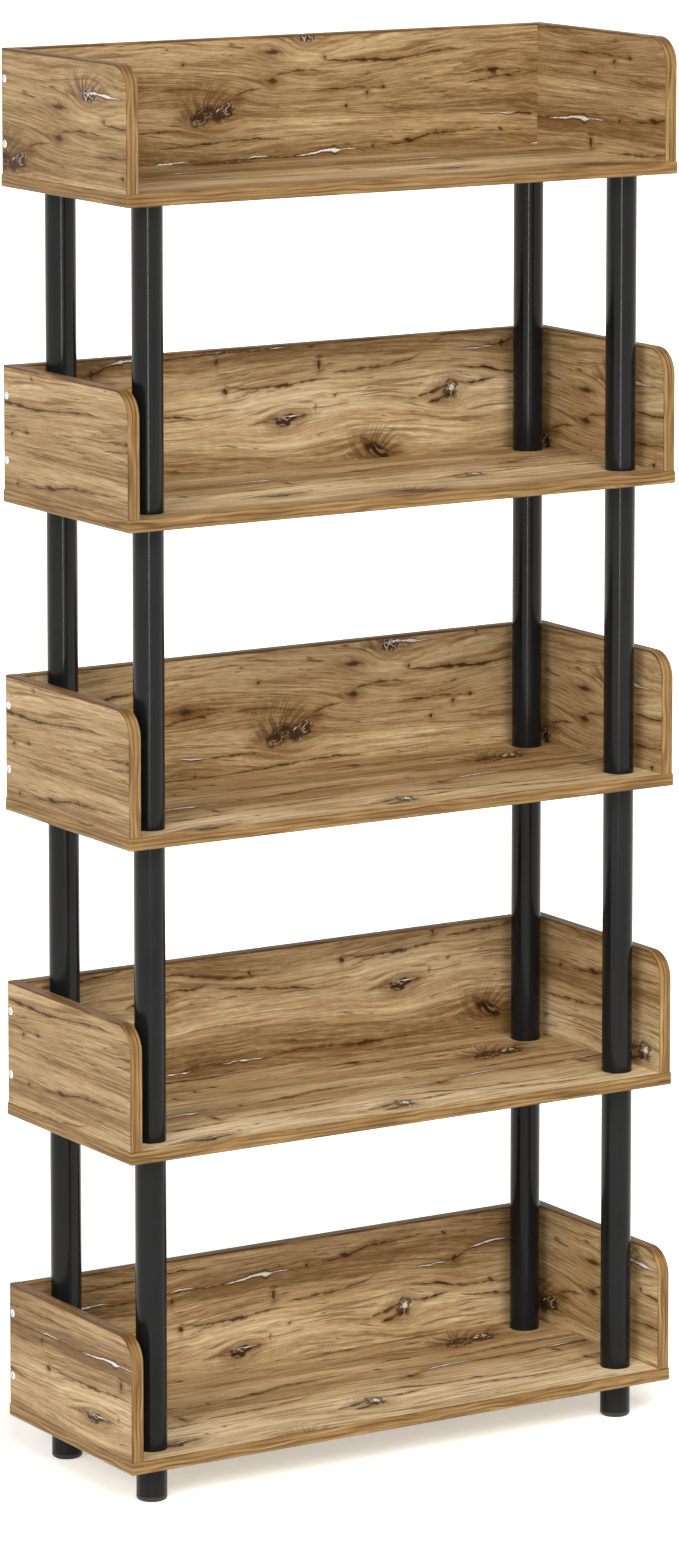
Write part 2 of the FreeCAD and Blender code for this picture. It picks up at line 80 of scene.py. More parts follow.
class Wiring:
    """Writes a node tree as formulas: each method adds nodes and gives back their result"""

    def __init__(self, tree):
        self.tree = tree

    def add(self, kind, **settings):
        node = self.tree.nodes.new(f"ShaderNode{kind}")
        for name, setting in settings.items():
            setattr(node, name, setting)
        return node

    def feed(self, socket, source):
        if isinstance(source, bpy.types.NodeSocket):
            self.tree.links.new(source, socket)
        else:
            socket.default_value = source

    def math(self, operation, *sources, clamp=False):
        node = self.add("Math", operation=operation, use_clamp=clamp)
        for socket, source in zip(node.inputs, sources):
            self.feed(socket, source)
        return node.outputs[0]

    def plus(self, *sources):
        total = sources[0]
        for source in sources[1:]:
            total = self.math("ADD", total, source)
        return total

    def minus(self, first, second):
        return self.math("SUBTRACT", first, second)

    def times(self, *sources):
        total = sources[0]
        for source in sources[1:]:
            total = self.math("MULTIPLY", total, source)
        return total

    def scaled(self, source, factor, offset):
        return self.math("MULTIPLY_ADD", source, factor, offset)

    def strayed(self, source, noise, reach):
        """The source moved by a noise about 0.5, by up to half the reach either way"""
        return self.plus(source, self.scaled(noise, reach, -reach / 2))

    def chosen(self, share, first, second):
        """The first where the share is 1, the second where it is 0"""
        return self.plus(self.times(first, share), self.times(second, self.minus(1.0, share)))

    def over(self, first, second):
        return self.math("DIVIDE", first, second)

    def most(self, first, second):
        return self.math("MAXIMUM", first, second)

    def least(self, first, second):
        return self.math("MINIMUM", first, second)

    def size(self, source):
        return self.math("ABSOLUTE", source)

    def length(self, across, up):
        return self.math("SQRT", self.scaled(across, across, self.times(up, up)))

    def turned(self, across, up, degrees):
        """The same place along and square to a direction at this angle"""
        cosine, sine = math.cos(math.radians(degrees)), math.sin(math.radians(degrees))
        along_it = self.scaled(across, cosine, self.times(up, sine))
        square_to_it = self.scaled(up, cosine, self.times(across, -sine))
        return along_it, square_to_it

    def slope(self, source, near, far, start, end):
        """A smooth slope from start, up to near, to end, from far on"""
        node = self.add("MapRange", interpolation_type="SMOOTHSTEP")
        for name, value in (("Value", source), ("From Min", near), ("From Max", far)):
            self.feed(node.inputs[name], value)
        node.inputs["To Min"].default_value = start
        node.inputs["To Max"].default_value = end
        return node.outputs[0]

    def fall(self, source, near, far):
        return self.slope(source, near, far, 1.0, 0.0)

    def rise(self, source, near, far):
        return self.slope(source, near, far, 0.0, 1.0)

    def noise(self, across, up, lengths, detail=0.0, roughness=0.5, shift=NOISE_SHIFT):
        """Smooth noise about 0.5, with blotches of these lengths"""
        vector = self.add("CombineXYZ")
        self.feed(vector.inputs[0], self.scaled(across, 1 / lengths[0], shift))
        self.feed(vector.inputs[1], self.scaled(up, 1 / lengths[1], shift))
        node = self.add("TexNoise", noise_dimensions="2D")
        self.feed(node.inputs["Vector"], vector.outputs[0])
        node.inputs["Scale"].default_value = 1.0
        node.inputs["Detail"].default_value = detail
        node.inputs["Roughness"].default_value = roughness
        return node.outputs[0]

    def curve(self, source, points):
        """The height of a smooth line through points, in their own units"""
        (start, end), (low, high) = [(min(part), max(part)) for part in zip(*points)]
        span, climb = end - start, (high - low) or 1.0
        share = self.math("MULTIPLY_ADD", source, 1 / span, -start / span, clamp=True)
        node = self.add("FloatCurve")
        line = node.mapping.curves[0]
        shares = [((across - start) / span, (up - low) / climb) for across, up in points]
        line.points[0].location = shares[0]
        line.points[1].location = shares[-1]
        for place in shares[1:-1]:
            line.points.new(*place)
        node.mapping.update()
        self.feed(node.inputs["Value"], share)
        return self.scaled(node.outputs[0], climb, low)

    def ramp(self, source, stops):
        node = self.add("ValToRGB")
        elements = node.color_ramp.elements
        places = sorted(stops)
        elements[0].position = places[0]
        elements[1].position = places[-1]
        for place in places[1:-1]:
            elements.new(place)
        for element in elements:
            nearest = min(places, key=lambda place: abs(place - element.position))
            element.color = linear(stops[nearest])
        self.feed(node.inputs[0], source)
        return node.outputs[0]

    def mix(self, share, first, second):
        node = self.add("Mix", data_type="RGBA")
        for name, value in (("Factor_Float", share), ("A_Color", first), ("B_Color", second)):
            socket = next(item for item in node.inputs if item.identifier == name)
            self.feed(socket, value)
        return next(item for item in node.outputs if item.identifier == "Result_Color")

    def painted(self, colour, mask, share, paint):
        """The colour, with a paint over it where the mask is, as strong as the share"""
        return self.mix(self.times(mask, share), colour, linear(paint))


def new_material(name):
    material = bpy.data.materials.new(name)
    material.use_nodes = True
    material.node_tree.nodes.clear()
    return material, Wiring(material.node_tree)


def finish_material(wiring, colour, roughness, height, bump_share=RELIEF_SHARE, bump_depth=RELIEF_DEPTH,
                    **constants):
    """The surface shader, and the relief that goes with it"""
    shader = wiring.add("BsdfPrincipled")
    wiring.feed(shader.inputs["Base Color"], colour)
    wiring.feed(shader.inputs["Roughness"], roughness)
    for name, value in constants.items():
        shader.inputs[name.replace("_", " ")].default_value = value
    bump = wiring.add("Bump")
    bump.inputs["Strength"].default_value = bump_share
    bump.inputs["Distance"].default_value = bump_depth
    wiring.feed(bump.inputs["Height"], height)
    wiring.feed(shader.inputs["Normal"], bump.outputs[0])
    output = wiring.add("OutputMaterial")
    wiring.feed(output.inputs[0], shader.outputs[0])


def dress(name, material):
    """Put a material in all the slots of a CAD node"""
    piece = nodes[name]
    for slot in piece.material_slots:
        slot.material = material


# The oak print. u runs along the grain and v across it, in millimetres, and u comes round again
# after the print's period.

PERIOD = 459.0

# How light the wood is, as a share, at heights across the print
LIGHTNESS_SHARES = [
    (-60, 0.44), (-34, 0.38), (-12, 0.46), (4, 0.69), (26, 0.72), (50, 0.62), (66, 0.54), (86, 0.40),
    (102, 0.46), (116, 0.56), (136, 0.41), (160, 0.44), (182, 0.51), (202, 0.61), (225, 0.60), (245, 0.50),
]

# Layers of noise in the tone: lengths along and across the grain, weight, detail, roughness
TONE_LAYERS = [
    ((130, 36), 0.38, 1.0, 0.5),
    ((260, 11), 0.34, 1.0, 0.5),
    ((80, 4.6), 0.32, 2.0, 0.6),
    ((60, 2.6), 0.76, 3.0, 0.74),
    ((13, 1.2), 0.42, 2.0, 0.65),
]

# How the grain lines sway: lengths of the noise along and across the grain, reach in millimetres,
# detail
SWAYS = [
    ((260, 110), 24, 0.0),
    ((75, 26), 6, 1.0),
]

# Dark strokes along the grain, long ones and short ones. They crowd into patches. Both the strokes
# and the patches are a noise, with lengths, detail, roughness and shift, and the levels of it where
# they begin and where they are full. The share says how strong the strokes are.
STROKE_SHARES = [
    (((84, 2.8), 2.0, 0.62, 6.1), (0.54, 0.61), ((140, 18), 1.0, 0.5, 5.2), (0.36, 0.58), 0.62, STAIN_COLOUR),
    (((26, 2.2), 2.0, 0.65, 9.4), (0.59, 0.67), ((48, 13), 1.0, 0.5, 8.3), (0.57, 0.67), 0.75, CRACK_COLOUR),
]

# Knots that the grain flows round: place, reach across the grain, stretch along it
BENDS = [
    (248, 18, 15, 2.2),
    (435, 33, 13, 1.8),
    (351, -20, 15, 2.2),
    (127, 131, 15, 2.0),
    (243, 210, 18, 1.6),
    (202, 193, 7, 2.0),
    (202, 163, 8, 1.8),
    (36, 74, 7, 2.0),
    (324, 90, 6, 2.0),
    (10, 162, 9, 2.6),
]

# Small dark knots: place, half length, half height
SPOTS = [
    (202, 193, 18, 6.0),
    (202, 163, 11, 7.0),
    (317, 146, 4.5, 5.0),
    (292, 133, 4.0, 5.0),
    (335, 152, 6, 3.0),
    (343, 213, 3.0, 2.5),
    (264, 186, 4.0, 3.0),
    (95, 184, 4.0, 3.5),
    (36, 73, 7, 7.0),
    (324, 90, 4, 4.0),
    (182, 47, 4, 6.0),
    (305, 35, 3, 2.5),
    (14, 163, 16, 7.0),
    (32, 157, 8, 3.5),
    (286, 66, 4.0, 10.0),
    (368, 94, 10, 4.0),
    (24, 100, 3.0, 2.5),
    (78, 46, 3.0, 3.5),
    (172, 76, 4.0, 7.0),
    (282, 26, 3.0, 3.0),
]

# The power that shapes the small knots: 1 makes lozenges of them, 2 would make ellipses
SPOT_ROUNDNESS = 1.15

# A small knot's core and the stain round it: the reach, in its half sizes, from where it is full to
# where it ends, and how strong it is
SPOT_REACH = (0.2, 0.8)
SPOT_SHARE = 0.92
SPOT_STAIN_REACH = (0.5, 2.4)
SPOT_STAIN_SHARE = 0.42

# Dark cracks: half width at the middle, then points along them
LINES = [
    (1.3, [(-16, 72), (10, 71), (36, 74), (60, 81), (101, 84)]),
    (1.0, [(95, 85), (125, 82), (165, 85)]),
    (1.5, [(150, 85), (196, 84), (238, 86), (280, 88), (326, 89)]),
    (1.1, [(330, 90), (366, 93), (404, 100), (455, 101)]),
    (1.8, [(104, -39), (130, -36), (160, -35), (200, -38), (268, -37)]),
    (2.6, [(-30, -42), (-6, -43), (20, -38), (60, -40), (108, -37)]),
    (1.2, [(205, 13), (228, 16), (262, 17), (292, 21)]),
    (1.6, [(398, 28), (420, 33), (434, 37)]),
    (1.8, [(408, 21), (428, 25), (446, 30)]),
    (1.1, [(440, 40), (462, 38), (490, 41)]),
    (1.4, [(180, 56), (212, 48), (252, 49), (300, 54)]),
    (1.2, [(300, 58), (352, 60), (404, 68)]),
    (1.5, [(258, 187), (300, 180), (350, 180), (384, 184), (436, 188)]),
    (1.3, [(-22, 56), (10, 51), (40, 46), (70, 44), (99, 42)]),
    (1.3, [(40, 36), (80, 31), (150, 24)]),
    (0.9, [(-6, 117), (22, 116), (52, 116), (100, 116)]),
    (0.9, [(60, 99), (110, 101), (160, 104), (220, 101)]),
    (1.3, [(202, 166), (225, 172), (262, 172)]),
    (1.1, [(146, 141), (158, 149), (174, 155), (190, 156)]),
    (1.5, [(136, 137), (150, 144), (172, 146)]),
    (1.0, [(-20, 159), (14, 164), (56, 162)]),
    (1.0, [(60, 158), (95, 159), (125, 156)]),
    (0.9, [(436, 150), (470, 155), (520, 162)]),
    (1.0, [(250, 150), (300, 152), (345, 149)]),
    (1.0, [(330, -8), (352, -16), (376, -30)]),
]

# Silver fillings in the cracks: half width, then points along them
FILLINGS = [
    (1.7, [(230, 85), (246, 87), (280, 88), (304, 89)]),
    (0.8, [(170, 85), (182, 86), (196, 85)]),
    (0.9, [(50, 79), (66, 83), (101, 85)]),
    (0.8, [(-19, 72), (4, 71), (26, 72)]),
    (1.4, [(236, 210), (258, 210), (288, 208)]),
    (0.6, [(238, 17), (250, 19), (268, 18)]),
    (1.0, [(-20, -41), (-4, -43), (12, -40)]),
    (0.9, [(46, -39), (70, -39), (94, -38)]),
    (0.5, [(0, 117), (20, 117), (44, 118)]),
]

# What makes the drawn features uneven: the lengths, detail and roughness of two noises, and how far
# they move the knots and the cracks, in millimetres
JITTER_NOISE = ((8, 6), 2.0, 0.6)
DRIFT_NOISE = ((30, 60), 4.0, 0.6)
KNOT_JITTER_ALONG = -9.0
KNOT_JITTER_ACROSS = 6.0
CRACK_DRIFT = 6.0

# The cracks swell and thin out along their length, by a noise with this factor and offset, and are
# deep only in some places, between these levels of another
SWELLING_NOISE = ((11, 60), 2.0, 0.6, 3.4)
SWELLING = (4.4, -1.2)
LEAST_SWELLING = 0.3
DEPTH_NOISE = ((42, 50), 0.0, 0.5, 4.6)
DEPTH_LEVELS = (0.38, 0.60)

# A crack, its dark bottom and the stain along it: the reach, in half widths, and how strong each is.
# The stain's strength is a factor for the depth and an offset.
CRACK_REACH = (0.1, 1.4)
CRACK_SHARE = 0.88
CRACK_BOTTOM_SHARE = 0.80
CRACK_STAIN_REACH = (0.5, 6.0)
CRACK_STAIN_STRENGTH = (0.30, 0.25)

# A silver filling and its dark rim: the reach, in half widths, and how strong each is
FILLING_REACH = (0.35, 1.1)
FILLING_SHARE = 0.92
FILLING_RIM_REACH = (1.1, 2.4)
FILLING_RIM_SHARE = 0.75

# Large knots: place, half length, half height, tilt and angle of the strokes in degrees, how dark
# and how silver they are inside, as shares
KNOT_SHARES = [
    (249, 15, 13, 6.0, 8, 12, 0.95, 0.25),
    (436, 33, 9, 10, -25, 60, 0.75, 0.85),
    (142, 133, 15, 8.0, 22, 58, 0.90, 0.65),
    (118, 130, 17, 9.0, 30, 40, 0.95, 0.06),
    (243, 208, 11, 7.0, 0, 75, 0.90, 0.50),
    (352, -22, 17, 6.5, -30, -40, 1.00, 0.06),
]

# A large knot's outline, its dark rim, the stain round it and its growth rings: places, reaches and
# spacing in its half sizes, and how strong each is
KNOT_EDGE = (0.75, 1.15)
RIM_PLACE = 0.9
RIM_REACH = (0.02, 0.35)
RIM_SHARE = 0.8
HALO_REACH = (0.9, 2.8)
HALO_SHARE = 0.7
RING_SPACING = 0.42
RING_REACH = (1.0, 3.4)
RING_LEVELS = (0.1, 1.0)
RING_SHARE = 0.75
KNOT_STAIN_SHARE = 0.8

# The strokes inside it come from one noise: dark where it is high, and silver where it is low,
# between these levels
STROKE_LENGTHS = (11, 3.2)
STROKE_SHIFT = 2.0
DARK_LEVELS = (0.41, 0.48)
SILVER_LEVELS = (0.32, 0.40)

# Knots with crossing silver strokes: place, reach, and how wide they are for their height
STARS = [
    (436, 33, 9.0, 0.75),
    (243, 209, 9.0, 1.3),
]

# How many strokes a star has, how far the first one is turned, in radians, where they begin to end, as
# a share of their reach, and the distance that is added beyond it, in millimetres, to end them
STAR_STROKES = 5
STAR_TURN = 0.7
STAR_FADE_SHARE = 0.55
STAR_CLEARANCE = 10.0

# Fans of dark lashes: centre, reach
FANS = [
    (124, 122, 60),
    (350, -34, 52),
    (240, 200, 46),
]

# The lashes come from a noise over the angle, in radians, and the distance, between these levels. They
# lean over by an angle for each millimetre out, grow faint from a share of their reach on, and start
# between these heights above the middle of the fan.
LASH_LENGTHS = (0.12, 22)
LASH_DETAIL = 2.0
LASH_LEVELS = (0.40, 0.58)
LASH_LEAN = 0.012
LASH_FADE_SHARE = 0.25
LASH_FOOT = (-1, 7)
LASH_SHARE = 0.80

# More than any distance that matters, in any unit, and the least half width of a line in millimetres
FAR_AWAY = 100.0
THINNEST_LINE = 0.001


def along(wiring, u, centre):
    """Distance along the grain from a feature, the short way round the period"""
    return wiring.math("WRAP", wiring.minus(u, centre), PERIOD / 2, -PERIOD / 2)


def grain_height(wiring, u, v):
    """Height of each point's grain line, bent by slow swaying and round the knots"""
    height = v
    for lengths, reach, detail in SWAYS:
        height = wiring.strayed(height, wiring.noise(u, v, lengths, detail), reach)
    for centre, level, reach, stretch in BENDS:
        across = wiring.times(along(wiring, u, centre), 1 / stretch)
        up = wiring.minus(v, level)
        square = wiring.scaled(across, across, wiring.times(up, up))
        pull = wiring.over(reach ** 2, wiring.plus(square, reach ** 2))
        height = wiring.minus(height, wiring.times(up, pull))
    return height


def grain_tone(wiring, u, height):
    """How light the wood is, as a share: broad bands, blotches, streaks and fibres"""
    tone = wiring.curve(height, LIGHTNESS_SHARES)
    for number, (lengths, weight, detail, roughness) in enumerate(TONE_LAYERS):
        layer = wiring.noise(u, height, lengths, detail, roughness, NOISE_SHIFT + number)
        tone = wiring.strayed(tone, layer, weight)
    return tone


def add_strokes(wiring, u, height, colour):
    """Long and short dark strokes along the grain, crowded in some places"""
    for mark_noise, mark_levels, patch_noise, patch_levels, share, paint in STROKE_SHARES:
        marks = wiring.rise(wiring.noise(u, height, *mark_noise), *mark_levels)
        patches = wiring.rise(wiring.noise(u, height, *patch_noise), *patch_levels)
        colour = wiring.painted(colour, wiring.times(marks, patches), share, paint)
    return colour


def line_gap(wiring, u, v, lines):
    """Distance to the nearest of some tapered lines, in half widths"""
    nearest = FAR_AWAY
    for half_width, points in lines:
        start, end = points[0][0], points[-1][0]
        middle = (start + end) / 2
        place = along(wiring, u, middle)
        level = wiring.curve(place, [(across - middle, up) for across, up in points])
        share = wiring.times(place, 2 / (end - start))
        taper = wiring.math("SUBTRACT", 1.0, wiring.times(share, share), clamp=True)
        width = wiring.scaled(taper, half_width, THINNEST_LINE)
        gap = wiring.size(wiring.minus(v, level))
        nearest = wiring.least(nearest, wiring.over(gap, width))
    return nearest


def spot_gap(wiring, u, v):
    """Distance to the nearest small knot, in half sizes, with points along and across the grain"""
    nearest = FAR_AWAY
    for centre, level, half_length, half_height in SPOTS:
        across = wiring.size(wiring.times(along(wiring, u, centre), 1 / half_length))
        up = wiring.size(wiring.times(wiring.minus(v, level), 1 / half_height))
        gap = wiring.plus(*[wiring.math("POWER", part, SPOT_ROUNDNESS) for part in (across, up)])
        nearest = wiring.least(nearest, gap)
    return nearest


def add_knots(wiring, u, v):
    """Masks of the large knots: dark strokes and rims, silver strokes, and the stain round them"""
    dark = silver = stain = 0.0
    for number, row in enumerate(KNOT_SHARES):
        centre, level, half_length, half_height, tilt, slant, dark_share, silver_share = row
        across = along(wiring, u, centre)
        up = wiring.minus(v, level)
        run, square = wiring.turned(across, up, tilt)
        gap = wiring.length(wiring.times(run, 1 / half_length), wiring.times(square, 1 / half_height))
        inside = wiring.fall(gap, *KNOT_EDGE)
        stroke_run, stroke_square = wiring.turned(across, up, slant)
        shift = STROKE_SHIFT + number
        strokes = wiring.noise(stroke_run, stroke_square, STROKE_LENGTHS, detail=1.0, shift=shift)
        rim = wiring.fall(wiring.size(wiring.plus(gap, -RIM_PLACE)), *RIM_REACH)
        dark_marks = wiring.most(wiring.rise(strokes, *DARK_LEVELS), wiring.times(rim, RIM_SHARE))
        dark = wiring.most(dark, wiring.times(inside, dark_marks, dark_share))
        silver_marks = wiring.fall(strokes, *SILVER_LEVELS)
        silver = wiring.most(silver, wiring.times(inside, silver_marks, silver_share))
        waves = wiring.math("SINE", wiring.times(gap, math.tau / RING_SPACING))
        rings = wiring.times(wiring.rise(waves, *RING_LEVELS), wiring.fall(gap, *RING_REACH), RING_SHARE)
        halo = wiring.times(wiring.fall(gap, *HALO_REACH), dark_share * HALO_SHARE)
        stain = wiring.most(stain, wiring.most(rings, halo))
    return dark, silver, stain


def star_gap(wiring, u, v):
    """Distance to silver strokes that cross each other inside a knot, in millimetres"""
    nearest = FAR_AWAY
    for number, (centre, level, reach, width_share) in enumerate(STARS):
        across = wiring.times(along(wiring, u, centre), 1 / width_share)
        up = wiring.minus(v, level)
        gap = wiring.length(across, up)
        angle = wiring.math("ARCTAN2", up, across)
        turned = wiring.math("SINE", wiring.scaled(angle, STAR_STROKES / 2, STAR_TURN + number))
        stray = wiring.times(wiring.size(turned), gap)
        beyond = wiring.times(wiring.rise(gap, reach * STAR_FADE_SHARE, reach), STAR_CLEARANCE)
        nearest = wiring.least(nearest, wiring.plus(stray, beyond))
    return nearest


def add_fans(wiring, u, v):
    """Dark lashes that stand round the upper half of a large knot"""
    lashes = 0.0
    for centre, level, reach in FANS:
        across = along(wiring, u, centre)
        up = wiring.minus(v, level)
        gap = wiring.length(across, up)
        angle = wiring.scaled(gap, LASH_LEAN, wiring.math("ARCTAN2", up, across))
        comb = wiring.rise(wiring.noise(angle, gap, LASH_LENGTHS, LASH_DETAIL), *LASH_LEVELS)
        fade = wiring.times(wiring.fall(gap, reach * LASH_FADE_SHARE, reach), wiring.rise(up, *LASH_FOOT))
        lashes = wiring.most(lashes, wiring.times(comb, fade))
    return lashes


def add_oak_print():
    """The print as a node group, which takes a place on it and a shift of tone, and gives the colour"""
    group = bpy.data.node_groups.new("oak_print", "ShaderNodeTree")
    for name in ("u", "v", "tone_shift"):
        group.interface.new_socket(name, in_out="INPUT", socket_type="NodeSocketFloat")
    group.interface.new_socket("colour", in_out="OUTPUT", socket_type="NodeSocketColor")
    wiring = Wiring(group)
    place = group.nodes.new("NodeGroupInput")
    u, v, tone_shift = place.outputs[:3]
    height = grain_height(wiring, u, v)
    tone = wiring.plus(grain_tone(wiring, u, height), tone_shift)
    colour = add_strokes(wiring, u, height, wiring.ramp(tone, TONES))

    jitter = wiring.noise(u, v, *JITTER_NOISE)
    v_crack = wiring.strayed(v, wiring.noise(u, v, *DRIFT_NOISE), CRACK_DRIFT)
    v_knot = wiring.strayed(v, jitter, KNOT_JITTER_ACROSS)
    u_knot = wiring.strayed(u, jitter, KNOT_JITTER_ALONG)
    swelling = wiring.scaled(wiring.noise(u, v, *SWELLING_NOISE), *SWELLING)
    width = wiring.most(swelling, LEAST_SWELLING)
    depth = wiring.rise(wiring.noise(u, v, *DEPTH_NOISE), *DEPTH_LEVELS)

    gap = line_gap(wiring, u, v_crack, LINES)
    crack = wiring.fall(wiring.over(gap, width), *CRACK_REACH)
    stain = wiring.fall(gap, *CRACK_STAIN_REACH)
    colour = wiring.painted(colour, stain, wiring.scaled(depth, *CRACK_STAIN_STRENGTH), STAIN_COLOUR)
    colour = wiring.painted(colour, crack, CRACK_SHARE, CRACK_COLOUR)
    colour = wiring.painted(colour, wiring.times(crack, depth), CRACK_BOTTOM_SHARE, DARK_COLOUR)

    gap = spot_gap(wiring, u_knot, v_knot)
    colour = wiring.painted(colour, wiring.fall(gap, *SPOT_STAIN_REACH), SPOT_STAIN_SHARE, STAIN_COLOUR)
    colour = wiring.painted(colour, wiring.fall(gap, *SPOT_REACH), SPOT_SHARE, DARK_COLOUR)

    lashes = add_fans(wiring, u, v)
    dark, silver, stain = add_knots(wiring, u_knot, v_knot)
    colour = wiring.painted(colour, stain, KNOT_STAIN_SHARE, STAIN_COLOUR)
    colour = wiring.painted(colour, lashes, LASH_SHARE, CRACK_COLOUR)
    colour = wiring.mix(dark, colour, linear(DARK_COLOUR))

    fillings = wiring.over(line_gap(wiring, u, v_crack, FILLINGS), width)
    gap = wiring.least(fillings, star_gap(wiring, u_knot, v_knot))
    colour = wiring.painted(colour, wiring.fall(gap, *FILLING_RIM_REACH), FILLING_RIM_SHARE, DARK_COLOUR)
    silver = wiring.most(silver, wiring.times(wiring.fall(gap, *FILLING_REACH), FILLING_SHARE))
    colour = wiring.mix(silver, colour, linear(PALE_COLOUR))
    result = group.nodes.new("NodeGroupOutput")
    group.links.new(colour, result.inputs[0])
    return group


# The laminate's surface: lengths and detail of its relief along and across the grain, factor and
# offset of its roughness, and how much it shines
OAK_RELIEF = ((14, 0.9), 2.0)
OAK_ROUGHNESS = (0.2, 0.42)
OAK_SHINE = 0.16


def object_place(wiring):
    """The three coordinates of the point, in millimetres"""
    coordinates = wiring.add("TexCoord")
    split = wiring.add("SeparateXYZ")
    wiring.feed(split.inputs[0], coordinates.outputs["Object"])
    return [wiring.times(part, 1 / MM) for part in split.outputs]


def add_oak_material(name, window, tone_share, group):
    """Laminate whose print is placed by a window: for u and v, the axis, scale and offset"""
    material, wiring = new_material(name)
    place = object_place(wiring)
    u, v = [wiring.scaled(place[axis], scale, offset) for axis, scale, offset in window]
    laminate = wiring.add("Group", node_tree=group)
    wiring.feed(laminate.inputs[0], u)
    wiring.feed(laminate.inputs[1], v)
    wiring.feed(laminate.inputs[2], tone_share)
    relief = wiring.noise(u, v, *OAK_RELIEF)
    roughness = wiring.scaled(relief, *OAK_ROUGHNESS)
    finish_material(wiring, laminate.outputs[0], roughness, relief, Specular_IOR_Level=OAK_SHINE)
    return material


# Where each face lies on the print, in millimetres: a point of the face, the same point on the
# print, and how many millimetres of face one millimetre of print covers, along and across

BACK_WINDOWS = {
    1: ((0, 0), (0, 0), (1, 1)),
    2: ((182, 49), (0, 0), (1, 1)),
    3: ((175, -99), (0, 0), (1, 1)),
    4: ((52, 29), (0, 0), (1, 1)),
    5: ((218, 46), (127, 133), (0.92, 0.92)),
}
BOARD_WINDOWS = {
    1: ((297, 55), (435, 33), (1.25, 1.3)),
    2: ((315, 32), (435, 33), (1.22, 1.25)),
    3: ((315, 30), (435, 33), (1.22, 1.27)),
    4: ((425, 83), (435, 33), (1.22, 1.2)),
    5: ((383, 63), (248, 18), (1.35, 1.27)),
}
LEFT_WINDOWS = {
    1: ((162, 28), (248, 18), (1.3, 0.82)),
    2: ((42, 25), (324, 90), (1.4, 0.82)),
    3: ((28, 8), (324, 90), (1.4, 0.82)),
    4: ((28, 8), (324, 90), (1.4, 0.82)),
    5: ((162, 85), (243, 209), (1.3, 0.95)),
}
RIGHT_WINDOWS = {
    1: ((120, 50), (202, 163), (1.3, 1.0)),
    2: ((205, 17), (435, 33), (1.3, 1.0)),
    3: ((100, 33), (202, 163), (1.3, 1.0)),
    4: ((100, 33), (202, 163), (1.3, 1.0)),
    5: ((155, 32), (324, 90), (1.3, 1.0)),
}


# How far each piece's tones are shifted lighter or darker, as a share of the tones, from the lowest tray up
TONE_SHARES = {
    "back_panel": (-0.05, -0.06, 0.04, 0.03, -0.06),
    "shelf_board": (0.09, 0.09, -0.03, 0.02, -0.12),
    "left_panel": (-0.13, 0.00, 0.01, 0.01, -0.06),
    "right_panel": (0.05, 0.00, 0.00, 0.00, -0.06),
}


def window_of(face_origin, axes, turns, row):
    """For u and v, the axis and the factor and offset that take it from the frame to the print"""
    face_point, print_point, scales = row
    window = []
    for index, axis in enumerate(axes):
        factor = turns[index] / scales[index]
        origin = face_origin[index] / MM
        offset = print_point[index] - factor * origin - face_point[index] / scales[index]
        window.append((axis, factor, offset))
    return window


def add_laminate():
    group = add_oak_print()
    for tier in TIERS:
        board_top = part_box(f"tray_{tier}_shelf_board")[1].z
        low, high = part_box(f"tray_{tier}_edge_bands")
        faces = {
            "back_panel": ((low.x, board_top), (0, 2), (1, 1), BACK_WINDOWS),
            "shelf_board": ((low.x, low.y), (0, 1), (1, 1), BOARD_WINDOWS),
            "left_panel": ((high.y, board_top), (1, 2), (-1, 1), LEFT_WINDOWS),
            "right_panel": ((high.y, board_top), (1, 2), (-1, 1), RIGHT_WINDOWS),
        }
        for part, (origin, axes, turns, rows) in faces.items():
            window = window_of(origin, axes, turns, rows[tier])
            tone_share = TONE_SHARES[part][tier - 1]
            material = add_oak_material(f"oak_{tier}_{part}", window, tone_share, group)
            dress(f"tray_{tier}_{part}", material)


# Edge bands

# Dark lines along the bands: how far apart they lie and how far they wander, in millimetres, the
# levels of the wave where a line begins and where it is full, and how dark it is, as a share of the
# tones
LINE_SPACING = 4.2
LINE_WANDER = 3.0
LINE_LEVELS = (0.3, 1.0)
LINE_SHADE = 0.30

# Painted shade on the upper edges: the tones darken towards the top, over a height in millimetres and by a
# share of the tones
TOP_EDGE_HEIGHT = 9.0
PAINTED_TOP_SHADE = 0.30

# The grain of the bands: each noise gives its lengths, detail and roughness. The grain wanders this
# far, the broad noise changes the tone by a share, and the streaks by a factor and an offset.
WANDER_NOISE = ((60, 9), 1.0)
WANDER_REACH = 9.0
BROAD_NOISE = ((110, 5.0), 1.0)
BROAD_REACH = 0.7
STREAK_NOISE = ((70, 2.2), 2.0, 0.6)
STREAK_TONES = (1.1, -0.08)

# Each tray has its own stretch of the grain. Where the bands meet, it changes over this distance to
# either side, in millimetres.
TRAY_STRETCH = 700.0
SEAM_BLUR = 0.05

# The bands' surface, as for the laminate
BAND_RELIEF = ((20, 0.8), 1.0)
BAND_ROUGHNESS = (0.2, 0.4)
BAND_SHINE = 0.2


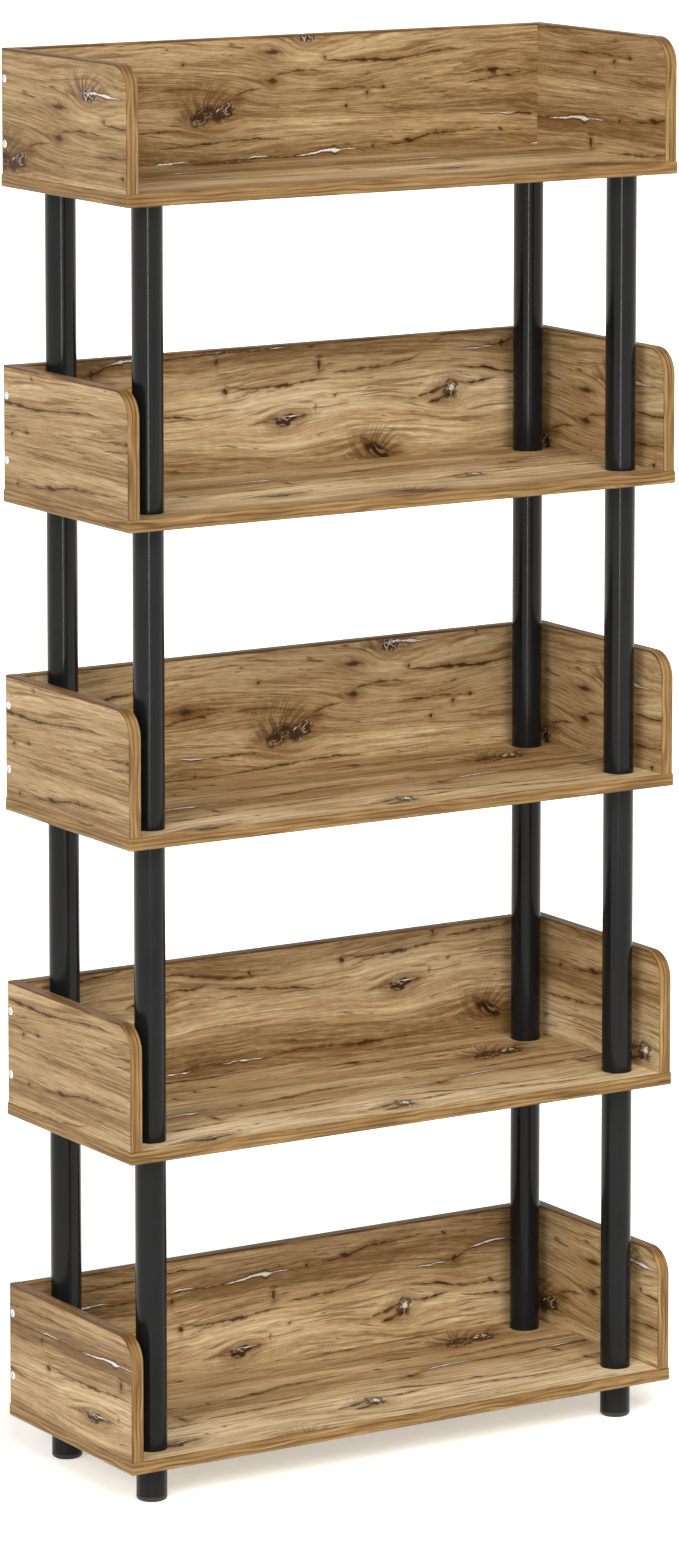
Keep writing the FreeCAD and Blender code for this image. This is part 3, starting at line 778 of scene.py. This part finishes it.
def add_band_material(tier):
    """Wood grain that runs along each edge band, with painted shade that darkens the panels' upper edges"""
    material, wiring = new_material(f"oak_band_{tier}")
    board_low, board_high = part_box(f"tray_{tier}_shelf_board")
    panel_low, panel_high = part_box(f"tray_{tier}_right_panel")
    board_foot, board_top = board_low.z / MM, board_high.z / MM
    panel_face, panel_top = panel_low.x / MM, panel_high.z / MM
    back_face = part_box(f"tray_{tier}_back_panel")[0].y / MM
    x, y, z = object_place(wiring)
    outward = wiring.size(x)
    on_board = wiring.fall(z, board_top - SEAM_BLUR, board_top + SEAM_BLUR)
    on_panel = wiring.rise(outward, panel_face - SEAM_BLUR, panel_face + SEAM_BLUR)
    fine = wiring.chosen(on_panel, wiring.minus(outward, panel_face), wiring.minus(y, back_face))
    fine = wiring.chosen(on_board, wiring.minus(z, board_foot), fine)
    run = wiring.chosen(on_panel, wiring.plus(y, z), x)
    run = wiring.chosen(on_board, wiring.plus(x, y), run)
    run = wiring.plus(run, TRAY_STRETCH * tier)
    wander = wiring.noise(run, fine, *WANDER_NOISE)
    height = wiring.strayed(fine, wander, WANDER_REACH)
    broad = wiring.noise(run, height, *BROAD_NOISE)
    streaks = wiring.noise(run, height, *STREAK_NOISE)
    # Painted shade: a mask that rises over the top of each panel's upper edge
    painted_top_shade = wiring.rise(z, panel_top - TOP_EDGE_HEIGHT, panel_top)
    line_height = wiring.scaled(wander, LINE_WANDER, fine)
    lines = wiring.math("SINE", wiring.times(line_height, math.tau / LINE_SPACING))
    tone = wiring.strayed(wiring.scaled(streaks, *STREAK_TONES), broad, BROAD_REACH)
    tone = wiring.plus(tone, wiring.times(wiring.rise(lines, *LINE_LEVELS), -LINE_SHADE))
    # The painted shade on the upper edges, taken off the tones
    tone = wiring.plus(tone, wiring.times(painted_top_shade, -PAINTED_TOP_SHADE))
    relief = wiring.noise(run, fine, *BAND_RELIEF)
    roughness = wiring.scaled(relief, *BAND_ROUGHNESS)
    finish_material(wiring, wiring.ramp(tone, BAND_TONES), roughness, relief, Specular_IOR_Level=BAND_SHINE)
    return material


# Tubes, feet and screws. Each noise gives its blotches in a metre and its detail, the tones lie on
# levels of it, and the roughness is a factor for it and an offset.

COAT_PEEL = (900.0, 2.0)
COAT_CLOUD = (14.0, 3.0)
COAT_TONES = {0.3: (15, 16, 17), 0.7: (23, 23, 24)}
COAT_ROUGHNESS = (0.08, 0.14)
COAT_PEEL_SHARE = 0.05
COAT_PEEL_DEPTH = 0.1 * MM
COAT_SHINE = 0.17

PLASTIC_GRAIN = (1400.0, 2.0)
PLASTIC_TONES = {0.35: (20, 20, 21), 0.65: (30, 30, 30)}
PLASTIC_ROUGHNESS = (0.2, 0.42)

ZINC_MARKS = (2500.0, 3.0)
ZINC_TONES = {0.3: (208, 209, 210), 0.7: (236, 237, 238)}
ZINC_ROUGHNESS = (0.25, 0.2)


def solid_noise(wiring, blotches, detail):
    """Smooth noise about 0.5 in space, with this many blotches in a metre"""
    coordinates = wiring.add("TexCoord")
    node = wiring.add("TexNoise", noise_dimensions="3D")
    wiring.feed(node.inputs["Vector"], coordinates.outputs["Object"])
    node.inputs["Scale"].default_value = blotches
    node.inputs["Detail"].default_value = detail
    return node.outputs[0]


def add_tube_material():
    """Black powder coat: fine orange-peel relief and faint changes of tone"""
    material, wiring = new_material("tube_coat")
    peel = solid_noise(wiring, *COAT_PEEL)
    cloud = solid_noise(wiring, *COAT_CLOUD)
    finish_material(wiring, wiring.ramp(cloud, COAT_TONES), wiring.scaled(cloud, *COAT_ROUGHNESS), peel,
                    COAT_PEEL_SHARE, COAT_PEEL_DEPTH, Specular_IOR_Level=COAT_SHINE)
    return material


def add_plastic_material():
    """Moulded black plastic for the glides, studs and sockets"""
    material, wiring = new_material("glide_plastic")
    grain = solid_noise(wiring, *PLASTIC_GRAIN)
    colour = wiring.ramp(grain, PLASTIC_TONES)
    finish_material(wiring, colour, wiring.scaled(grain, *PLASTIC_ROUGHNESS), grain)
    return material


def add_zinc_material():
    """Bright zinc plate with faint marks"""
    material, wiring = new_material("zinc_plate")
    marks = solid_noise(wiring, *ZINC_MARKS)
    colour = wiring.ramp(marks, ZINC_TONES)
    finish_material(wiring, colour, wiring.scaled(marks, *ZINC_ROUGHNESS), marks, Metallic=1.0)
    return material


def dress_hardware():
    coat = add_tube_material()
    plastic = add_plastic_material()
    zinc = add_zinc_material()
    for name in nodes:
        if name.startswith(("tube_studs", "tube_sockets", "top_studs", "foot_glide")):
            dress(name, plastic)
        elif name.startswith(("tube_", "foot_tube")):
            dress(name, coat)
        elif name.endswith("screws"):
            dress(name, zinc)


# Stage, light and camera

# The floor. It glows for the camera, less near the rack, where the shadow has to show, than further
# off, where all is white. The glow changes between these two distances, and is a little warm, so
# that the shadow is too.
FLOOR_SIZE = 60.0
FLOOR_COLOUR = (0.9, 0.9, 0.9, 1)
FLOOR_LIFT = 0.48
FAR_FLOOR_LIFT = 0.78
FLOOR_FADE = (0.3, 0.9)
FLOOR_GLOW = (1.0, 0.95, 0.84, 1.0)

WORLD_COLOUR = (1, 1, 1, 1)
WORLD_LIGHT = 0.25

# Even light: the way to it, how wide it is in degrees, and how bright it makes a white surface
SUNS = {
    "key": ((-0.75, -0.50, 0.43), 27, 0.64),
    "front": ((-0.22, -0.73, 0.64), 27, 0.77),
}

# Lamps that only show in reflections: place, target, width, height, and how bright they are
LAMPS = {
    "strip": ((-1.75, -3.20, 1.15), (0.0, 0.0, 0.70), 0.08, 2.2, 0.28),
}


def seen_directly(wiring):
    """1 for what the camera sees straight, in a mirror or through glass"""
    path = wiring.add("LightPath")
    rays = wiring.most(path.outputs["Is Camera Ray"], path.outputs["Is Glossy Ray"])
    return wiring.most(rays, path.outputs["Is Transmission Ray"])


def add_floor():
    """A white floor that keeps the rack's shadow"""
    mesh = bpy.data.meshes.new("floor")
    half = FLOOR_SIZE / 2
    corners = [(-half, -half, 0), (half, -half, 0), (half, half, 0), (-half, half, 0)]
    mesh.from_pydata(corners, [], [(0, 1, 2, 3)])
    floor = bpy.data.objects.new("floor", mesh)
    bpy.context.scene.collection.objects.link(floor)
    material, wiring = new_material("white_floor")
    diffuse = wiring.add("BsdfDiffuse")
    diffuse.inputs["Color"].default_value = FLOOR_COLOUR
    coordinates = wiring.add("TexCoord")
    distance = wiring.add("VectorMath", operation="LENGTH")
    wiring.feed(distance.inputs[0], coordinates.outputs["Object"])
    lift = wiring.slope(distance.outputs["Value"], *FLOOR_FADE, FLOOR_LIFT, FAR_FLOOR_LIFT)
    glow = wiring.add("Emission")
    glow.inputs["Color"].default_value = FLOOR_GLOW
    wiring.feed(glow.inputs["Strength"], wiring.times(seen_directly(wiring), lift))
    both = wiring.add("AddShader")
    wiring.feed(both.inputs[0], diffuse.outputs[0])
    wiring.feed(both.inputs[1], glow.outputs[0])
    output = wiring.add("OutputMaterial")
    wiring.feed(output.inputs[0], both.outputs[0])
    mesh.materials.append(material)


def add_world():
    """Even light from all round, which the camera sees as white"""
    world = bpy.data.worlds.new("studio")
    world.use_nodes = True
    world.node_tree.nodes.clear()
    bpy.context.scene.world = world
    wiring = Wiring(world.node_tree)
    seen = seen_directly(wiring)
    background = wiring.add("Background")
    wiring.feed(background.inputs["Strength"], wiring.scaled(seen, 1 - WORLD_LIGHT, WORLD_LIGHT))
    background.inputs["Color"].default_value = WORLD_COLOUR
    output = wiring.add("OutputWorld")
    wiring.feed(output.inputs[0], background.outputs[0])


def add_sun(name, way, spread, level):
    """Soft light from far away, which doesn't show in reflections"""
    light = bpy.data.lights.new(name, "SUN")
    light.angle = math.radians(spread)
    light.energy = level * math.pi
    sun = bpy.data.objects.new(name, light)
    sun.rotation_mode = "QUATERNION"
    sun.rotation_quaternion = Vector(way).to_track_quat("Z", "Y")
    sun.visible_glossy = False
    bpy.context.scene.collection.objects.link(sun)


def add_lamp(name, place, target, width, height, level):
    """A soft box, which only shows in reflections"""
    light = bpy.data.lights.new(name, "AREA")
    light.shape = "RECTANGLE"
    light.size = width
    light.size_y = height
    aim = Vector(target) - Vector(place)
    light.energy = level * math.pi ** 2 * aim.length_squared
    lamp = bpy.data.objects.new(name, light)
    lamp.location = place
    lamp.rotation_mode = "QUATERNION"
    lamp.rotation_quaternion = aim.to_track_quat("-Z", "Y")
    lamp.visible_camera = False
    lamp.visible_diffuse = False
    bpy.context.scene.collection.objects.link(lamp)


# The camera: place in metres, way it looks, lens in millimetres, and shift as a share of the frame
CAMERA_PLACE = (-3.2225, -5.1703, 1.8167)
CAMERA_HEADING = math.radians(31.907)
CAMERA_TILT = math.radians(-7.524)
CAMERA_LENS = 152.2
CAMERA_SHIFT = -0.25


def add_camera():
    """The photograph's view: a long lens that looks down a little, shifted for the framing"""
    lens = bpy.data.cameras.new("camera")
    lens.lens = CAMERA_LENS
    lens.shift_y = CAMERA_SHIFT
    camera = bpy.data.objects.new("camera", lens)
    camera.location = CAMERA_PLACE
    camera.rotation_euler = (math.pi / 2 + CAMERA_TILT, 0, -CAMERA_HEADING)
    bpy.context.scene.collection.objects.link(camera)
    bpy.context.scene.camera = camera


bpy.context.scene.view_settings.view_transform = "Standard"
add_laminate()
for tier in TIERS:
    dress(f"tray_{tier}_edge_bands", add_band_material(tier))
dress_hardware()
add_floor()
add_world()
for name, settings in SUNS.items():
    add_sun(name, *settings)
for name, settings in LAMPS.items():
    add_lamp(name, *settings)
add_camera()

bpy.context.view_layer.update()
